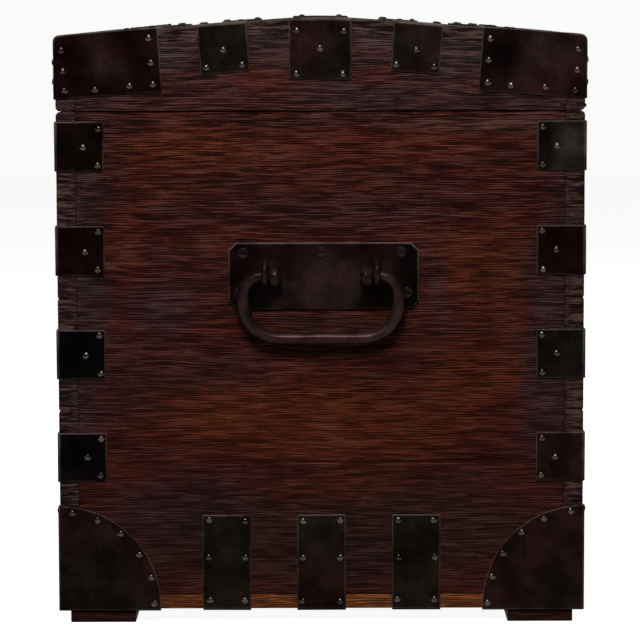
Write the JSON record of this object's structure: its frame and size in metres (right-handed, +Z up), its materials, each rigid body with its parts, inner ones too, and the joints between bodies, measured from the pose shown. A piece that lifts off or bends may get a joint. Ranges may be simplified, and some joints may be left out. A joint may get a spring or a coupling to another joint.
{
  "type": "cutlery chest",
  "caption": "Iron-bound oak chest with a hinged, gently domed lid, bail handles on its ends, straps and brackets round every edge, and a divided lift-out cutlery tray over a well.",
  "frame": {"origin": "middle of the ground under the feet", "axes": "+X along the chest, the front faces -Y, +Z up"},
  "size_m": [0.8078, 0.4991, 0.5565],
  "materials": {
    "oak": "dark stained oak, open raised grain under a thin wax",
    "tray_wood": "smooth stained hardwood",
    "black_iron": "hammered plate, black oxide with brown rust bloom, waxed",
    "forged_iron": "forged and handled, brown black",
    "lock_steel": "dull worked steel",
    "lining_cloth": "green felted wool cloth"
  },
  "bodies": {
    "carcass": {"front_board": "oak", "back_board": "oak", "left_end_board": "oak", "right_end_board": "oak", "bottom_board": "oak", "front_left_foot": "oak", "front_right_foot": "oak", "back_left_foot": "oak", "back_right_foot": "oak", "front_left_corner_straps": "black_iron", "front_right_corner_straps": "black_iron", "back_left_corner_straps": "black_iron", "back_right_corner_straps": "black_iron", "front_left_base_bracket": "black_iron", "front_right_base_bracket": "black_iron", "back_left_base_bracket": "black_iron", "back_right_base_bracket": "black_iron", "left_base_straps": "black_iron", "right_base_straps": "black_iron", "front_base_straps": "black_iron", "back_base_straps": "black_iron", "carcass_nails": "black_iron", "left_handle_plate": "black_iron", "left_handle_eyes": "forged_iron", "right_handle_plate": "black_iron", "right_handle_eyes": "forged_iron", "handle_screws": "black_iron", "hinge_body_leaves": "black_iron", "hinge_pins": "black_iron", "lock_case": "lock_steel", "escutcheon": "black_iron", "tray_cleats": "tray_wood", "well_lining": "lining_cloth"},
    "lid": {"lid_front_rail": "oak", "lid_back_rail": "oak", "lid_left_end": "oak", "lid_right_end": "oak", "lid_front_outer_board": "oak", "lid_front_inner_board": "oak", "lid_back_outer_board": "oak", "lid_back_inner_board": "oak", "lid_front_left_bracket": "black_iron", "lid_front_right_bracket": "black_iron", "lid_back_left_bracket": "black_iron", "lid_back_right_bracket": "black_iron", "lid_left_straps": "black_iron", "lid_right_straps": "black_iron", "lid_front_straps": "black_iron", "lid_back_straps": "black_iron", "lid_nails": "black_iron", "hinge_lid_leaves": "black_iron", "lock_link_plate": "lock_steel"},
    "left_bail": {"left_bail": "forged_iron"},
    "right_bail": {"right_bail": "forged_iron"},
    "lock_bolt": {"lock_bolt": "lock_steel"},
    "escutcheon_cover": {"escutcheon_cover": "black_iron"},
    "tray": {"tray_sides": "tray_wood", "tray_floor": "tray_wood", "tray_dividers": "tray_wood", "tray_lining": "lining_cloth"}
  },
  "joints": [
    {"name": "lid_hinge", "type": "hinge", "parent": "carcass", "child": "lid", "pos_m": [0, 0.2455, 0.4703], "axis": [-1, 0, 0], "range_deg": [0, 95]},
    {"name": "left_bail_swing", "type": "hinge", "parent": "carcass", "child": "left_bail", "pos_m": [-0.3905, 0, 0.322], "axis": [0, 1, 0], "range_deg": [0, 165]},
    {"name": "right_bail_swing", "type": "hinge", "parent": "carcass", "child": "right_bail", "pos_m": [0.3905, 0, 0.322], "axis": [0, -1, 0], "range_deg": [0, 165]},
    {"name": "lock_bolt_slide", "type": "slide", "parent": "carcass", "child": "lock_bolt", "axis": [1, 0, 0], "range_m": [0, 0.009]},
    {"name": "escutcheon_cover_swing", "type": "hinge", "parent": "carcass", "child": "escutcheon_cover", "pos_m": [0, -0.2427, 0.452], "axis": [0, 1, 0], "range_deg": [-100, 100]},
    {"name": "tray_lift", "type": "slide", "parent": "carcass", "child": "tray", "axis": [0, 0, 1], "range_m": [0, 0.055]}
  ]
}
